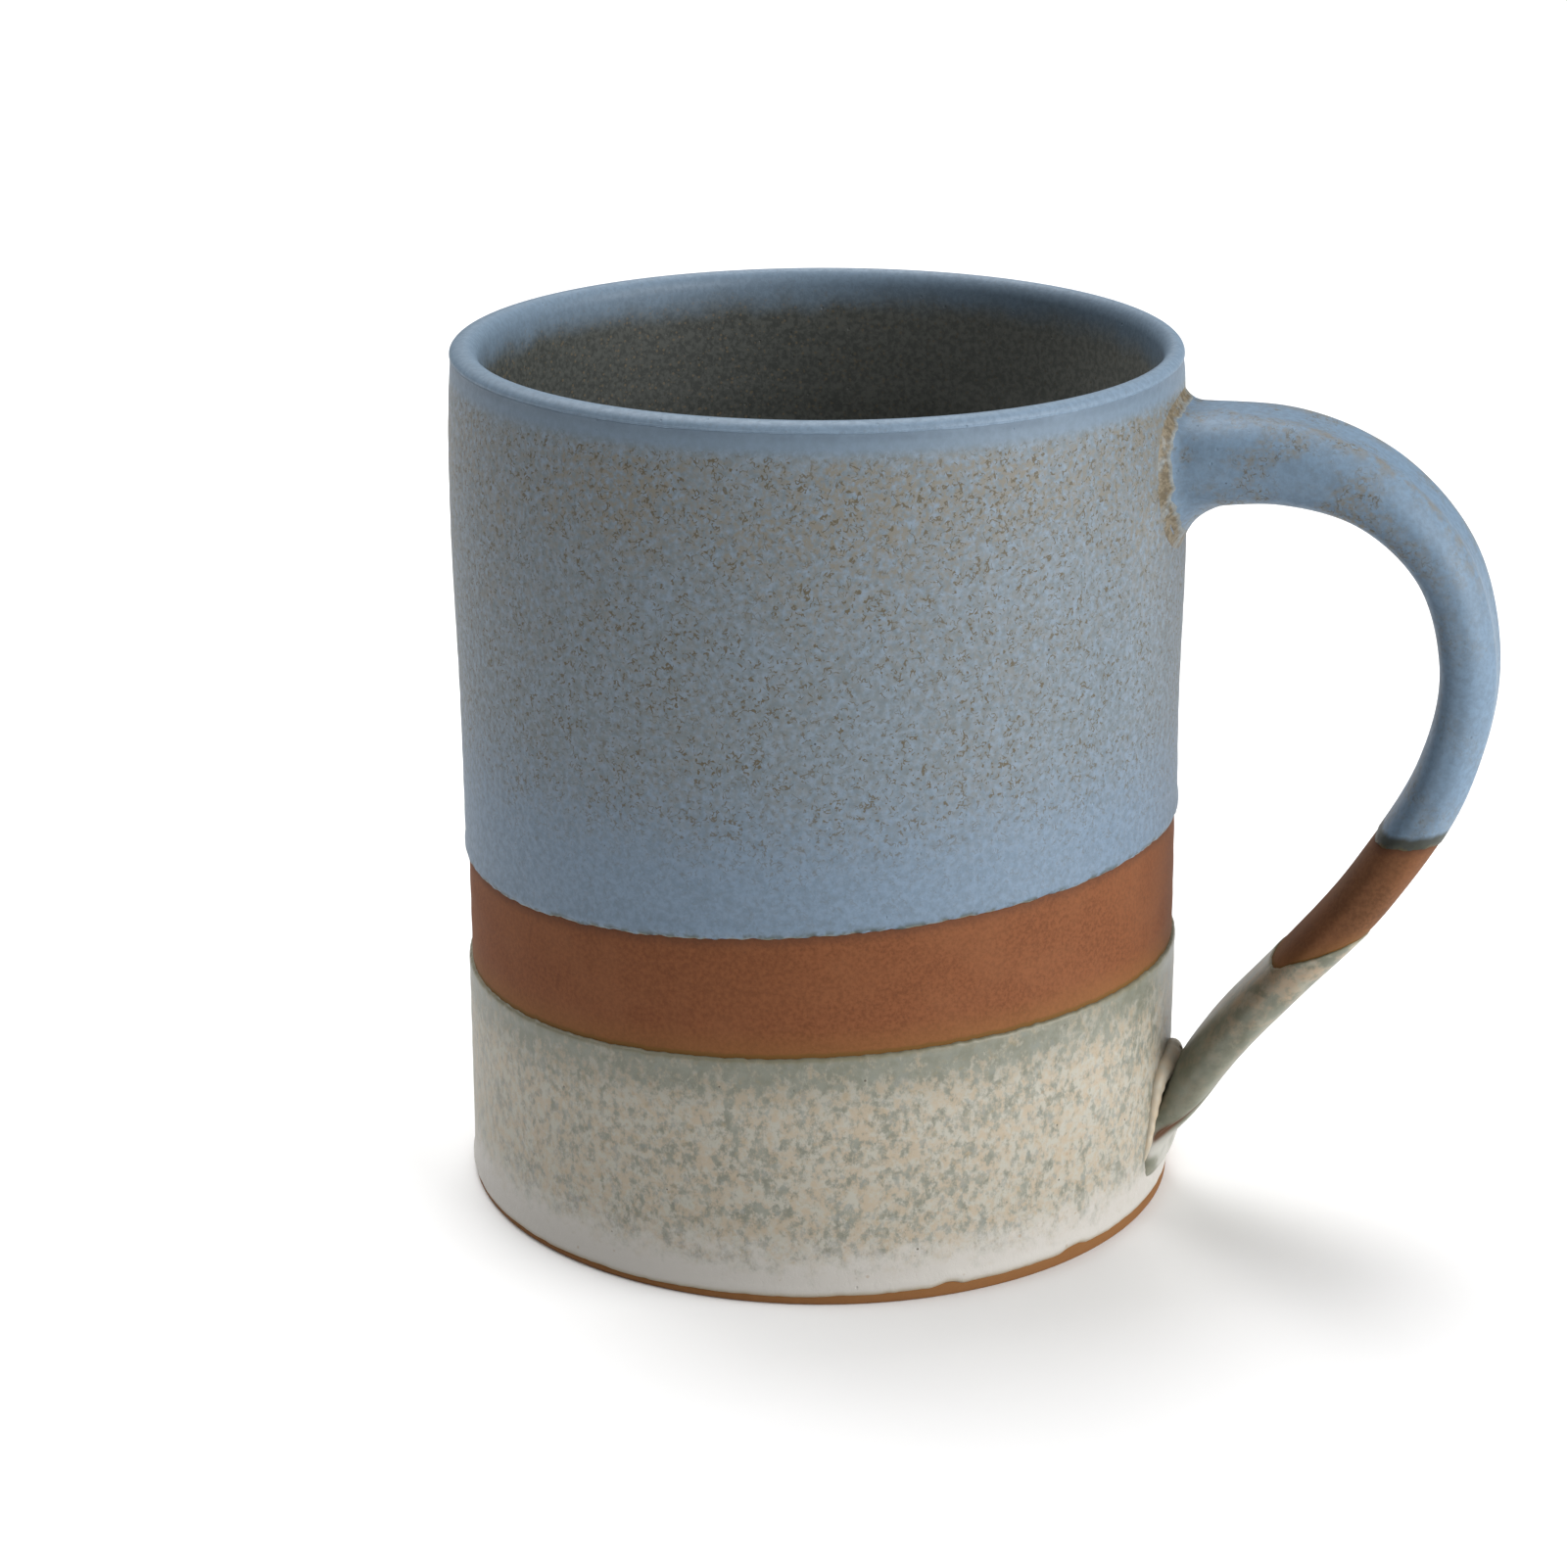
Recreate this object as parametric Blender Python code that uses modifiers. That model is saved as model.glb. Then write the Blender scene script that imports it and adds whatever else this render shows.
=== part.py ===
"""A hand-thrown stoneware mug with a pulled strap handle, glazed in two dips over a bare clay band.

The mug stands on the XY plane with its axis on Z, and its handle points along +X. The clay, the slip
joints and each coat of glaze are separate solids, laid over each other as they are on the real mug.
Sizes below are in millimetres, and mm() turns them into Blender's metres.
"""

import math

import bmesh
import bpy
import numpy as np

# Driving dimensions of the finished, glazed mug.
HEIGHT = 98.0
OUTER_RADIUS = 41.0
LIP_THICKNESS = 2.8
BORE_RADIUS = 36.9          # inside the glazed wall, halfway up
FLOOR_LEVEL = 6.0           # the glazed floor that the drink stands on
FOOT_BEVEL = 0.7

# How the coats lie: every piece keeps GAP to the piece under it.
GLAZE = 0.4
SLIP = 0.6
GAP = 0.3
COVER = GLAZE + GAP         # from the clay up to the glazed surface

# The levels where the dipped coats end.
BLUE_TOP = 95.6
BLUE_BOTTOM = 42.0
CREAM_TOP = 28.8
CREAM_BOTTOM = 1.6
HANDLE_BLUE_BOTTOM = 46.4
HANDLE_CREAM_TOP = 33.7

# The pulled strap from its upper root to its lower one:
# place along X, height, width across, thickness.
HANDLE_STATIONS = (
    (34.0, 86.6, 18.5, 15.0),
    (43.0, 87.9, 16.5, 11.8),
    (52.5, 88.2, 15.0, 10.3),
    (62.3, 85.0, 14.0, 8.5),
    (69.9, 77.5, 13.6, 6.8),
    (73.0, 67.0, 13.4, 6.0),
    (71.0, 53.5, 13.4, 6.2),
    (64.0, 40.1, 13.5, 6.1),
    (54.4, 28.3, 13.8, 5.2),
    (46.0, 17.9, 14.4, 5.5),
    (36.0, 4.8, 17.0, 8.0),
)
SECTION_POWER = 2.6         # 2 is an ellipse, and higher is closer to a rectangle

# How finely round shapes are faceted.
TURN_STEPS = 48
SECTION_POINTS = 20
HANDLE_RINGS = 40

CLAY_RADIUS = OUTER_RADIUS - COVER
CLAY_BORE = BORE_RADIUS + COVER
CLAY_TOP = HEIGHT - COVER
CLAY_FLOOR = FLOOR_LEVEL - COVER


def mm(value):
    return value * 0.001


def clear_scene():
    for obj in list(bpy.data.objects):
        bpy.data.objects.remove(obj, do_unlink=True)


def new_collection(name):
    collection = bpy.data.collections.new(name)
    bpy.context.scene.collection.children.link(collection)
    return collection


def new_material(name, color, roughness):
    material = bpy.data.materials.new(name)
    material.use_nodes = True
    shader = material.node_tree.nodes["Principled BSDF"]
    shader.inputs["Base Color"].default_value = (*color, 1.0)
    shader.inputs["Roughness"].default_value = roughness
    shader.inputs["Metallic"].default_value = 0.0
    material.diffuse_color = (*color, 1.0)
    return material


def add_object(name, mesh, collection, material=None):
    obj = bpy.data.objects.new(name, mesh)
    collection.objects.link(obj)
    if material:
        mesh.materials.append(material)
        mesh.shade_smooth()
        mesh.set_sharp_from_angle(angle=math.radians(40))
    return obj


def arc(centre, radius, start, end, steps):
    """Points round a quarter or half circle in the profile's plane, angles in degrees from +X."""
    angles = np.radians(np.linspace(start, end, steps + 1))
    return [
        (centre[0] + radius * math.cos(a), centre[1] + radius * math.sin(a)) for a in angles
    ]


def turned(name, profile, collection, material=None, closed=False):
    """A profile of (radius, height) points turned once round Z. It runs down its outer side."""
    mesh = bpy.data.meshes.new(name)
    points = [(mm(r), 0.0, mm(z)) for r, z in profile]
    edges = [(i, i + 1) for i in range(len(points) - 1)]
    if closed:
        edges.append((len(points) - 1, 0))
    mesh.from_pydata(points, edges, [])
    obj = add_object(name, mesh, collection)
    screw = obj.modifiers.new("turn", "SCREW")
    screw.steps = screw.render_steps = TURN_STEPS
    screw.use_merge_vertices = True
    screw.merge_threshold = 0.0001
    screw.use_smooth_shade = False
    if material:
        mesh.materials.append(material)
    return obj


def handle_path(count, first, last):
    """A smooth curve through the stations, as rows of x, z, width and thickness.

    Each span is a cubic Hermite blend whose end slopes are half the step between the stations on
    either side. first and last are how far along the stations the rows run, from 0 to 1.
    """
    stations = np.array(HANDLE_STATIONS)
    slopes = np.gradient(stations, axis=0)
    place = np.linspace(first, last, count) * (len(stations) - 1)
    span = np.minimum(place.astype(int), len(stations) - 2)
    t = (place - span)[:, None]
    return (
        (2 * t**3 - 3 * t**2 + 1) * stations[span]
        + (t**3 - 2 * t**2 + t) * slopes[span]
        + (3 * t**2 - 2 * t**3) * stations[span + 1]
        + (t**3 - t**2) * slopes[span + 1]
    )


def place_at_height(level):
    """How far along the stations, from 0 to 1, the strap's centre comes down to a level."""
    fine = np.linspace(0.3, 1.0, 800)
    heights = handle_path(len(fine), fine[0], fine[-1])[:, 1]
    return float(fine[np.argmin(np.abs(heights - level))])


def strap(name, collection, inset, first=0.0, last=1.0, rings=HANDLE_RINGS, material=None):
    """A loft of superellipse sections along the handle's path, shrunk all round by inset."""
    rows = handle_path(rings, first, last)
    along = np.gradient(rows[:, :2], axis=0)
    along /= np.linalg.norm(along, axis=1)[:, None]
    turn = np.radians(np.arange(SECTION_POINTS) * 360 / SECTION_POINTS)
    power = 2 / SECTION_POWER
    across = np.sign(np.cos(turn)) * np.abs(np.cos(turn)) ** power
    outward = np.sign(np.sin(turn)) * np.abs(np.sin(turn)) ** power
    wide = rows[:, 2, None] / 2 - inset
    thick = rows[:, 3, None] / 2 - inset
    # Across is +Y. Outward is the path's direction turned a quarter left, away from the mug.
    x = rows[:, 0, None] - along[:, 1, None] * outward * thick
    z = rows[:, 1, None] + along[:, 0, None] * outward * thick
    y = across * wide
    body = bmesh.new()
    grid = [
        [body.verts.new((mm(x[i, j]), mm(y[i, j]), mm(z[i, j]))) for j in range(SECTION_POINTS)]
        for i in range(rings)
    ]
    for near, far in zip(grid, grid[1:]):
        for j in range(SECTION_POINTS):
            k = (j + 1) % SECTION_POINTS
            body.faces.new((near[j], near[k], far[k], far[j]))
    body.faces.new(grid[0][::-1])
    body.faces.new(grid[-1])
    bmesh.ops.recalc_face_normals(body, faces=body.faces)
    mesh = bpy.data.meshes.new(name)
    body.to_mesh(mesh)
    body.free()
    return add_object(name, mesh, collection, material)


def boolean(obj, operation, other):
    modifier = obj.modifiers.new(f"{operation.lower()} {other.name}", "BOOLEAN")
    modifier.operation = operation
    modifier.solver = "EXACT"
    modifier.object = other
    other.hide_render = True
    other.display_type = "WIRE"


def vessel(collection, material):
    """The thrown wall, floor and foot in one piece of clay. The foot steps out under the cream coat."""
    lip_radius = (LIP_THICKNESS - 2 * COVER) / 2
    lip = (CLAY_RADIUS - lip_radius, CLAY_TOP - lip_radius)
    corner = 8.0
    foot_radius = OUTER_RADIUS - 0.1
    step = CREAM_BOTTOM - GAP
    profile = [(0.0, CLAY_FLOOR)]
    profile += arc((CLAY_BORE - corner, CLAY_FLOOR + corner), corner, -90, 0, 5)
    profile += [(CLAY_BORE, 70.0), (lip[0] - lip_radius, 90.0)]
    profile += arc(lip, lip_radius, 180, 0, 6)
    profile += [
        (CLAY_RADIUS, step),
        (foot_radius, step),
        (foot_radius, FOOT_BEVEL),
        (foot_radius - FOOT_BEVEL, 0.0),
        (0.0, 0.0),
    ]
    return turned("clay_body", profile, collection, material)


def liner(collection, material):
    """The coat inside the bowl, carried over the lip to just under it on the outside."""
    lip_radius = LIP_THICKNESS / 2
    lip = (OUTER_RADIUS - lip_radius, HEIGHT - lip_radius)
    corner = 8.0
    inner = lip_radius - GLAZE
    edge = BLUE_TOP + GAP
    outside = [(0.0, FLOOR_LEVEL)]
    outside += arc((BORE_RADIUS - corner, FLOOR_LEVEL + corner), corner, -90, 0, 5)
    outside += [(BORE_RADIUS, 70.0), (lip[0] - lip_radius, 90.0)]
    outside += arc(lip, lip_radius, 180, 0, 6)
    outside += [(OUTER_RADIUS, edge)]
    inside = [(OUTER_RADIUS - GLAZE, edge)]
    inside += arc(lip, inner, 0, 180, 6)
    inside += [(lip[0] - inner, 90.0), (BORE_RADIUS + GLAZE, 70.0)]
    inside += arc((BORE_RADIUS - corner, FLOOR_LEVEL + corner), corner + GLAZE, 0, -90, 5)
    inside += [(0.0, FLOOR_LEVEL - GLAZE)]
    return turned("liner_glaze", outside + inside, collection, material)


def wall_coat(name, bottom, top, collection, material):
    """A dipped coat round the wall: a straight sleeve of glaze."""
    profile = [
        (OUTER_RADIUS - GLAZE, top),
        (OUTER_RADIUS, top),
        (OUTER_RADIUS, bottom),
        (OUTER_RADIUS - GLAZE, bottom),
    ]
    return turned(name, profile, collection, material, closed=True)


def cylinder_cutter(name, radius, cutters):
    """A solid round bar on the mug's axis, taller than the mug."""
    return turned(name, [(0.0, 130.0), (radius, 130.0), (radius, -30.0), (0.0, -30.0)], cutters)


def handle_coat(name, first, last, wall_cutter, collection, cutters, material):
    """A coat of glaze round one stretch of the strap, trimmed clear of the coat on the wall."""
    rings = max(6, round(HANDLE_RINGS * (last - first)))
    coat = strap(name, collection, 0.0, first, last, rings, material)
    core = strap(f"{name}_core", cutters, GLAZE, first - 0.02, last + 0.02, rings)
    boolean(coat, "DIFFERENCE", core)
    boolean(coat, "DIFFERENCE", wall_cutter)
    return coat


def slip_joint(name, first, last, cutters, collection, material):
    """The pad of slip that sticks a root of the strap to the scored wall."""
    inner = CLAY_RADIUS + GAP
    shell = [(inner, 110.0), (inner + SLIP, 110.0), (inner + SLIP, -20.0), (inner, -20.0)]
    sleeve = turned(f"{name}_sleeve", shell, cutters, closed=True)
    pad = strap(name, collection, COVER, first, last, 10, material)
    boolean(pad, "INTERSECT", sleeve)
    return pad


def main():
    clear_scene()
    mug = new_collection("ceramic_mug")
    cutters = new_collection("cutters")
    clay = new_material("bare clay", (0.30, 0.13, 0.065), 0.8)
    slip = new_material("joining slip", (0.36, 0.25, 0.15), 0.8)
    blue = new_material("blue matt glaze", (0.23, 0.32, 0.42), 0.45)
    grey = new_material("liner glaze", (0.16, 0.17, 0.15), 0.4)
    cream = new_material("cream glaze", (0.50, 0.47, 0.37), 0.4)

    vessel(mug, clay)
    liner(mug, grey)
    blue_wall = wall_coat("blue_glaze_wall", BLUE_BOTTOM, BLUE_TOP, mug, blue)
    cream_wall = wall_coat("cream_glaze_wall", CREAM_BOTTOM, CREAM_TOP, mug, cream)

    # The strap stops just off its slip, and the coats over it stop just off the coats on the wall.
    handle = strap("handle", mug, COVER, material=clay)
    slip_face = CLAY_RADIUS + GAP + SLIP + GAP
    boolean(handle, "DIFFERENCE", cylinder_cutter("slip_face", slip_face, cutters))
    coat_face = cylinder_cutter("coat_face", OUTER_RADIUS + GAP, cutters)
    blue_end = place_at_height(HANDLE_BLUE_BOTTOM)
    cream_start = place_at_height(HANDLE_CREAM_TOP)
    handle_coat("blue_glaze_handle", 0.0, blue_end, coat_face, mug, cutters, blue)
    handle_coat("cream_glaze_handle", cream_start, 1.0, coat_face, mug, cutters, cream)

    # Each root passes through a hole in the wall's coat, onto its own pad of slip.
    slip_joint("upper_join", 0.0, 0.15, cutters, mug, slip)
    slip_joint("lower_join", 0.85, 1.0, cutters, mug, slip)
    hole = COVER - GAP
    boolean(blue_wall, "DIFFERENCE", strap("upper_hole", cutters, hole, 0.0, 0.15, 10))
    boolean(cream_wall, "DIFFERENCE", strap("lower_hole", cutters, hole, 0.85, 1.0, 10))


main()
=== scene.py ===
# %% [markdown]
# # A hand-thrown mug with a pulled strap handle
#
# The mug is brown stoneware. Its upper half was dipped in a matt blue glaze, its foot in a cream one,
# and a band of clay was left bare between them. The bowl has a liner glaze that runs over the lip.
# Everything is measured in millimetres here and turned into Blender's metres as it enters a mesh.

import math

import bpy
import numpy as np
from mathutils import Matrix, Vector


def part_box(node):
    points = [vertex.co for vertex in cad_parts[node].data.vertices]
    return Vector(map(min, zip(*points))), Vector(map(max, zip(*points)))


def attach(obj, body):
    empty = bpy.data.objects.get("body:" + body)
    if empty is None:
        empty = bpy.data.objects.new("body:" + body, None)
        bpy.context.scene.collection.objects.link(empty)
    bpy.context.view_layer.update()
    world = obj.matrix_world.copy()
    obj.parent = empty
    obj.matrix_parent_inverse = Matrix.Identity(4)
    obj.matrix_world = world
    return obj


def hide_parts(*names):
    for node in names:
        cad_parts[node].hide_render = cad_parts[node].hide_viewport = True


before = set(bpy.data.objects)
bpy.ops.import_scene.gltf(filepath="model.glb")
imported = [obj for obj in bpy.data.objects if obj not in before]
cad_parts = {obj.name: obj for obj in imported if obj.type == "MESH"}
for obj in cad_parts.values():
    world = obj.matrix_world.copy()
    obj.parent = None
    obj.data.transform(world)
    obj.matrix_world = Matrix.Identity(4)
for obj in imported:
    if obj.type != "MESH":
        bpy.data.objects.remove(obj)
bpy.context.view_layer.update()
MM = 0.001
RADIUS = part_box("blue_glaze_wall")[1].x / MM      # of the glazed wall
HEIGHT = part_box("liner_glaze")[1].z / MM          # of the glazed lip
GLAZE = 0.36                                      # how thick the coats look at their edges
print(f"The frame holds {len(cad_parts)} parts; the mug is {RADIUS:.1f} in radius, {HEIGHT:.1f} high")

# %% [markdown]
# ## Working out surfaces
#
# Each piece is a grid of points worked out at once with numpy. A grid that closes on itself both ways
# is a ring of glaze. A grid whose first and last rows are closed by a single point is a solid.
# One helper turns either into a mesh, and turns the faces round if they point inwards.


# %% A grid of points becomes a mesh
def surface(name, points, caps=None, **attributes):
    """A closed mesh from points[row, column], whose columns always join up in a ring.

    Rows join up too when caps is None. Otherwise caps holds one point for each end, and a fan of
    triangles closes the end rows onto them. Attributes hold one number for each grid point.
    """
    rows, columns = points.shape[:2]
    index = np.arange(rows * columns).reshape(rows, columns)
    below = index if caps is None else index[:-1]
    above = np.roll(index, -1, axis=0) if caps is None else index[1:]
    quads = np.stack([below, np.roll(below, -1, 1), np.roll(above, -1, 1), above], -1).reshape(-1, 4)
    flat = points.reshape(-1, 3)
    triangles = np.zeros((0, 3), int)
    if caps is not None:
        flat = np.vstack([flat, caps[0], caps[1]])
        first, last = index[0], index[-1]
        start, end = np.full(columns, rows * columns), np.full(columns, rows * columns + 1)
        triangles = np.vstack([
            np.stack([np.roll(first, -1), first, start], -1),
            np.stack([last, np.roll(last, -1), end], -1),
        ])
    halves = np.vstack([quads[:, [0, 1, 2]], quads[:, [0, 2, 3]], triangles])
    corners = flat[halves]
    volume = np.einsum("ij,ij->i", corners[:, 0], np.cross(corners[:, 1], corners[:, 2])).sum() / 6
    if volume < 0:
        quads, triangles = quads[:, ::-1], triangles[:, ::-1]
    mesh = bpy.data.meshes.new(name)
    mesh.vertices.add(len(flat))
    mesh.vertices.foreach_set("co", (flat * MM).astype(np.float32).ravel())
    loops = np.concatenate([quads.ravel(), triangles.ravel()])
    sizes = np.concatenate([np.full(len(quads), 4), np.full(len(triangles), 3)])
    mesh.loops.add(len(loops))
    mesh.loops.foreach_set("vertex_index", loops.astype(np.int32))
    mesh.polygons.add(len(sizes))
    mesh.polygons.foreach_set("loop_start", (np.cumsum(sizes) - sizes).astype(np.int32))
    mesh.update(calc_edges=True)
    mesh.validate()
    mesh.shade_smooth()
    for label, values in attributes.items():
        layer = mesh.attributes.new(label, "FLOAT", "POINT")
        values = np.broadcast_to(values, (rows, columns)).ravel()
        if caps is not None:
            values = np.append(values, [values[0], values[-1]])
        layer.data.foreach_set("value", values.astype(np.float32))
    obj = bpy.data.objects.new(name, mesh)
    bpy.context.scene.collection.objects.link(obj)
    print(f"{name}: {len(halves)} triangles, {abs(volume) / 1000:.2f} cm3 inside")
    return obj


# %% [markdown]
# Hands and glaze leave nothing perfectly even. A few small functions give every piece its curves and
# its slight irregularity. What wavers is seeded, so each run gives the same mug.


# %% Curves through points, and slow and ragged wavering
def step(value, low, high):
    """A smooth step: 0 below low, 1 above high, and the cubic 3t2 - 2t3 between."""
    t = np.clip((value - low) / (high - low), 0, 1)
    return t * t * (3 - 2 * t)


def through(knots, values, place):
    """A smooth curve through values at knots: cubic Hermite spans, with slopes from the neighbours."""
    knots, values = np.asarray(knots, float), np.asarray(values, float)
    slopes = np.gradient(values, knots, axis=0)
    span = np.clip(np.searchsorted(knots, place, side="right") - 1, 0, len(knots) - 2)
    width = knots[span + 1] - knots[span]
    t = np.clip((place - knots[span]) / width, 0, 1)
    if values.ndim == 2:
        t, width = t[..., None], width[..., None]
    return (
        (2 * t**3 - 3 * t**2 + 1) * values[span]
        + (t**3 - 2 * t**2 + t) * slopes[span] * width
        + (3 * t**2 - 2 * t**3) * values[span + 1]
        + (t**3 - t**2) * slopes[span + 1] * width
    )


def wander(angle, seed):
    """Slow wavering round the mug, about -1 to 1: six cosines, each higher one smaller."""
    waves = 6
    rng = np.random.default_rng(seed)
    phases = rng.uniform(0, 2 * np.pi, waves)
    sizes = rng.uniform(0.5, 1, waves) / np.arange(1, waves + 1) ** 0.7
    total = sum(size * np.cos((k + 1) * angle + phase) for k, (size, phase) in enumerate(zip(sizes, phases)))
    return total / sizes.sum() * 1.6


def ragged(angle, seed, teeth):
    """An uneven little edge, -1 to 1: random numbers at so many places round, eased between."""
    rng = np.random.default_rng(seed)
    heights = rng.uniform(-1, 1, teeth)
    place = np.mod(angle / (2 * np.pi), 1) * teeth
    first = place.astype(int) % teeth
    t = step(place - np.floor(place), 0, 1)
    return heights[first] * (1 - t) + heights[(first + 1) % teeth] * t


# %% [markdown]
# ## The form of the thrown wall
#
# The wall is nearly a straight cylinder. It swells by a few tenths of a millimetre near the top and
# draws in under the lip, and it is very slightly out of round, as a mug is after its handle has pulled
# on it. Clay and coats share this one function, so each coat follows the clay under it.


# %% Outer radius of the clay wall
def clay_radius(angle, height):
    """Radius of the bare clay: a curve through a few heights, a slight oval, a lean and throwing rings."""
    share = height / HEIGHT
    knots = [0, 0.03, 0.12, 0.35, 0.6, 0.8, 0.92, 0.965, 1.0]
    swell = [0.10, 0.02, -0.06, -0.14, -0.06, 0.30, 0.14, -0.10, -0.30]
    oval = 0.10 * np.cos(2 * angle + 0.7) + 0.05 * np.cos(3 * angle + 2.0)
    rings = 0.018 * np.sin(2 * np.pi * height / 4.1 + angle) * step(share, 0.05, 0.2)
    lean_knots = [0, 0.12, 0.3, 0.42, 0.55, 0.75, 0.9, 1.0]
    lean = through(lean_knots, [0, 0.25, 0.40, 0.32, 0, -0.15, -0.38, -0.50], share)
    pulled = lean * np.clip(np.cos(angle - 0.25), 0, 1) ** 3
    return RADIUS - GLAZE + through(knots, swell, share) + oval + pulled + rings


def wall(angle, height):
    """A point of the clay wall: out from the axis by clay_radius, in the direction of angle."""
    radius = clay_radius(angle, height)
    return np.stack([radius * np.cos(angle), radius * np.sin(angle), height + 0 * angle], -1)


def dip_line(angle, middle, tilt, lowest, seed, teeth, rough, sway=0.12, bow=0.0, bow_at=0.0):
    """Where a dip ends: a tilted level, lowest at lowest degrees, bowed, and wavering a little."""
    return (
        middle
        - tilt * np.cos(angle - math.radians(lowest))
        + bow * np.cos(2 * angle + math.radians(bow_at))
        + sway * wander(angle, seed)
        + rough * (0.6 * ragged(angle, seed + 1, teeth) + 0.4 * ragged(angle, seed + 2, int(teeth * 2.3)))
    )


def blue_line(angle):
    """The lower edge of the blue dip, over the bare band."""
    return dip_line(
        angle, middle=42.2, tilt=2.59, lowest=176, seed=11, teeth=190, rough=0.17, bow=0.40, bow_at=37
    )


def cream_line(angle):
    """The upper edge of the cream dip, under the bare band."""
    return dip_line(
        angle, middle=28.2, tilt=1.64, lowest=161, seed=21, teeth=260, rough=0.13, bow=0.45, bow_at=65
    )


def foot_line(angle):
    """The lower edge of the cream dip, wiped clear of the foot, with a few bites out of it."""
    bites = 0.50 * step(ragged(angle, 34, 46), 0.55, 1.0)
    wiped = dip_line(
        angle, middle=0.95, tilt=0.45, lowest=190, seed=31, teeth=150, rough=0.10, sway=0.1
    )
    return np.maximum(wiped, 0.52) + bites


# %% [markdown]
# ## A coat of glaze
#
# Fired glaze is a skin about a third of a millimetre thick. At a dip line it ends in a rounded edge,
# often with a slight roll behind it. The coat is made from the clay's own surface: each point is
# lifted along the normal by a thickness that runs out to nothing at the two edges, and the skin then
# returns just under the clay, so the ring of glaze is closed.


# %% Lift a skin off a surface
ROUND_EDGE = 0.42      # how far in from its edge a coat reaches its full thickness
SUNK = 0.12            # how far the liner's hidden side lies inside the clay


def normals_of(form, across, along):
    """Unit normals of form(across, along), from two small steps on the surface."""
    tiny = 1e-3
    here = form(across, along)
    one = form(across + tiny, along) - here
    two = form(across, along + tiny) - here
    normal = np.cross(one, two)
    return here, normal / np.linalg.norm(normal, axis=-1, keepdims=True)


def coat(name, form, across, low, high, body_rows, low_roll=0.1, high_roll=0.1, side=1, spread=None,
         under_rows=4, high_soft=ROUND_EDGE, thickness=GLAZE, **masks):
    """A closed skin of glaze over form between the edges low and high, one pair for each column.

    Rows go over the rounded low edge, along the body, over the high edge, and back under the clay.
    The roll is a low hump a millimetre in from an edge. side is -1 where form's own normals point
    inwards. spread gives the body rows' places, from 0 to 1, and high_soft the width of the high
    edge. Attributes low_edge and high_edge give each point's distance to the edges in millimetres;
    masks are more attributes, each a function of the same two parameters as form.
    """
    turn = np.linspace(0, np.pi / 2, 7)[:, None]
    if spread is None:
        spread = np.linspace(0, 1, body_rows + 2)
    inner = np.linspace(1, 0, under_rows)[:, None]
    first = low + ROUND_EDGE * (1 - np.cos(turn))
    last = high - high_soft * (1 - np.cos(turn[::-1]))
    middle = first[-1] + (last[0] - first[-1]) * spread[1:-1, None]
    under = low + (high - low) * inner
    along = np.vstack([first, middle, last, under])
    full = np.ones_like(middle)
    thick = np.vstack([
        np.sin(turn) * np.ones_like(low),
        full,
        np.sin(turn[::-1]) * np.ones_like(low),
        -0.35 * np.ones_like(under),
    ])
    from_low, from_high = along - low, high - along
    roll = low_roll * np.exp(-(((from_low - 0.9) / 0.55) ** 2))
    roll = roll + high_roll * np.exp(-(((from_high - 0.9) / 0.55) ** 2))
    here, normal = normals_of(form, across + 0 * along, along)
    points = here + side * normal * (thick * thickness + roll * (thick > 0))[..., None]
    worked = {label: mask(across + 0 * along, along) for label, mask in masks.items()}
    return surface(name, points, low_edge=from_low, high_edge=from_high, **worked)


# %% [markdown]
# ## Clay body
#
# The body is one piece of thrown clay: floor, wall, lip and foot. Only the band, the foot's edge and
# the underside show, so its profile follows the glazed form a glaze's thickness inside it. The
# underside keeps the arcs of the wire that cut the mug off the wheel.

# %% Turn the clay body
ANGLES = np.linspace(0, 2 * np.pi, 1024, endpoint=False)    # for the ragged edges of the dips
AROUND = ANGLES[::2]                                        # for the smooth turned pieces
FLOOR_TOP, BORE, CORNER = 6.0, 36.9, 8.0                    # BORE and CORNER are radii
LIP_RISE = 0.3                                              # the lip's wavering top over HEIGHT
ROLL_INSIDE, ROLL_OUTSIDE = 1.9, 0.95                       # how far down the lip's roll reaches
FOOT_BEVEL = 0.4


def lip_thickness(angle):
    """The lip is thicker on one side than on the other, as a thrown one often is."""
    return 2.75 + 0.45 * np.cos(angle - math.radians(195)) + 0.06 * wander(angle, 5)


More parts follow.
